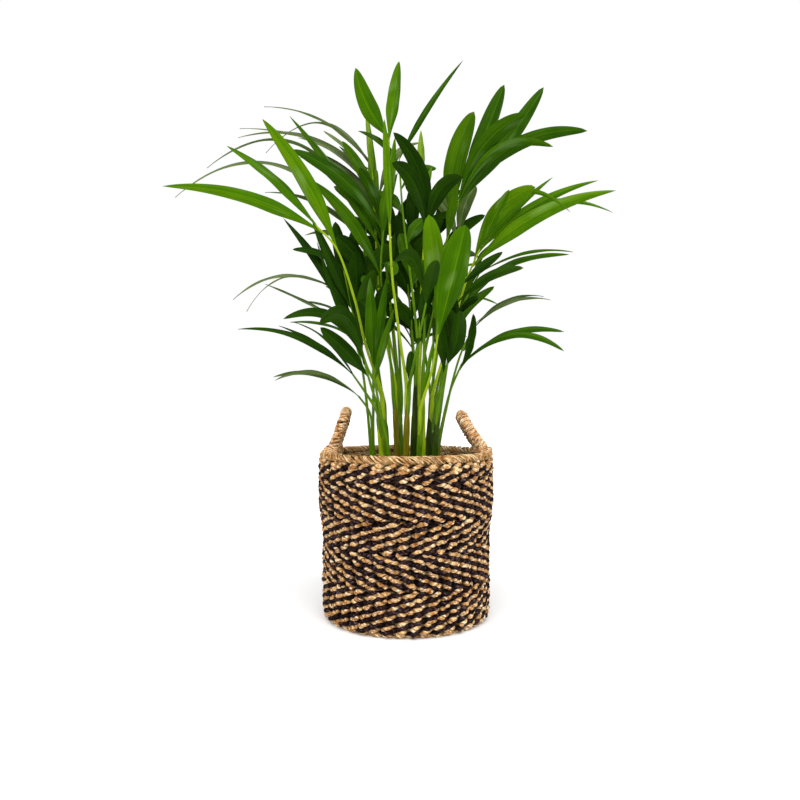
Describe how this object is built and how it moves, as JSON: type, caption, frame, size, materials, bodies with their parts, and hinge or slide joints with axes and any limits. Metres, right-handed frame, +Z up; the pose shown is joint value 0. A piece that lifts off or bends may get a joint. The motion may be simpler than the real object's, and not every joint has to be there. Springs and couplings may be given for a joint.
{
  "type": "potted areca palm",
  "caption": "Young multi-stem areca palm in a nursery pot of soil, standing in a round woven seagrass basket with two rope handles.",
  "frame": {"origin": "middle of the basket's flat underside", "axes": "+Z up, -Y towards the front that the picture shows, +X to the right of that view"},
  "size_m": [0.5642, 0.3679, 0.6753],
  "materials": {
    "seagrass_weave": "matte twined fibre, natural tan and near-black dyed",
    "seagrass_rope": "matte twisted fibre rope, natural tan",
    "pot_plastic": "matte dark brown",
    "potting_soil": "loose, crumbly, dull",
    "cane": "smooth, satin, yellow-green to brown sheaths",
    "leaf_bright": "satin leaf, bright green",
    "leaf_mid": "satin leaf, mid green",
    "leaf_dark": "satin leaf, dark green",
    "leaf_grey": "satin leaf seen from its dull grey-green side",
    "spear": "satin, pale yellow-green unopened leaf"
  },
  "bodies": {
    "root": {"basket_body": "seagrass_weave", "basket_rim": "seagrass_rope", "cane_a": "cane", "cane_b": "cane", "cane_c": "cane", "cane_d": "cane", "cane_e": "cane", "cane_f": "cane", "cane_g": "cane", "cane_h": "cane", "cane_i": "cane", "cane_j": "cane", "cane_k": "cane", "cane_l": "cane", "cane_m": "cane", "cane_n": "cane", "cane_o": "cane", "cane_p": "cane", "frond_back_1": "leaf_mid", "frond_back_2": "leaf_dark", "frond_back_3": "leaf_bright", "frond_back_4": "leaf_mid", "frond_back_5": "leaf_dark", "frond_back_6": "leaf_bright", "frond_back_7": "leaf_mid", "frond_dark_fan": "leaf_dark", "frond_front_bright": "leaf_bright", "frond_front_dark": "leaf_dark", "frond_front_folded": "leaf_dark", "frond_front_left": "leaf_mid", "frond_grey_back": "leaf_grey", "frond_left_arc": "leaf_grey", "frond_left_back_high": "leaf_grey", "frond_left_back_low": "leaf_grey", "frond_left_dark": "leaf_dark", "frond_left_long": "leaf_bright", "frond_left_low": "leaf_dark", "frond_left_low_dark": "leaf_dark", "frond_left_lowest": "leaf_grey", "frond_left_middle": "leaf_mid", "frond_middle_back": "leaf_dark", "frond_middle_dark": "leaf_dark", "frond_middle_right": "leaf_dark", "frond_right_dark": "leaf_dark", "frond_right_low": "leaf_mid", "frond_right_middle": "leaf_bright", "frond_right_pair": "leaf_mid", "frond_right_thin": "leaf_grey", "frond_right_top": "leaf_mid", "frond_thin_top": "leaf_mid", "frond_top": "leaf_bright", "frond_upper_left": "leaf_mid", "handle_left": "seagrass_rope", "handle_right": "seagrass_rope", "nursery_pot": "pot_plastic", "soil": "potting_soil", "spear_left": "spear", "spear_right": "spear"}
  },
  "joints": []
}
